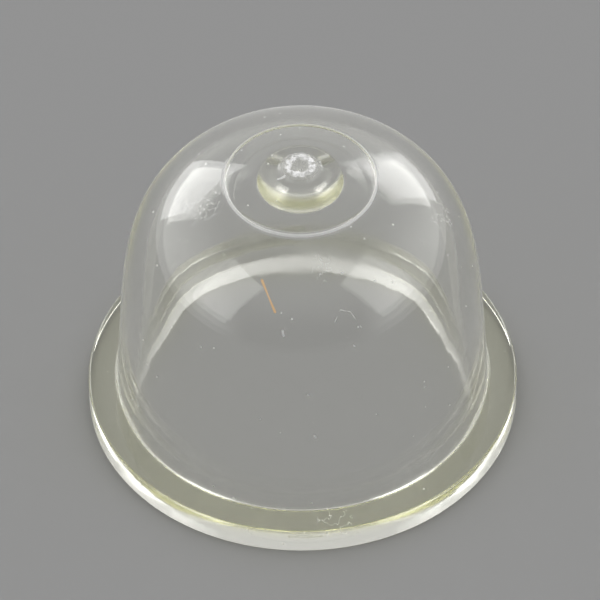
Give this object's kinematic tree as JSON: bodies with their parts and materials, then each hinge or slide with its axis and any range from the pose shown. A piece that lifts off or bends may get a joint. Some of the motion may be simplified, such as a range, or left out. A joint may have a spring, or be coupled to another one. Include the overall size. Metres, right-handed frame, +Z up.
{
  "type": "primer bulb",
  "caption": "Clear flexible dome with a flat round flange, pressed by a finger to pump fuel into a small petrol engine's carburettor.",
  "frame": {"origin": "on the bulb's axis, in the plane of the flange's underside", "axes": "+Z up the axis from the mouth to the gate nub on the crown; X and Y are alike, because the bulb is round"},
  "size_m": [0.022, 0.022, 0.0171],
  "materials": {
    "clear_plastic": "clear, glossy, very slightly yellow"
  },
  "bodies": {
    "root": {"primer_bulb": "clear_plastic"}
  },
  "joints": []
}
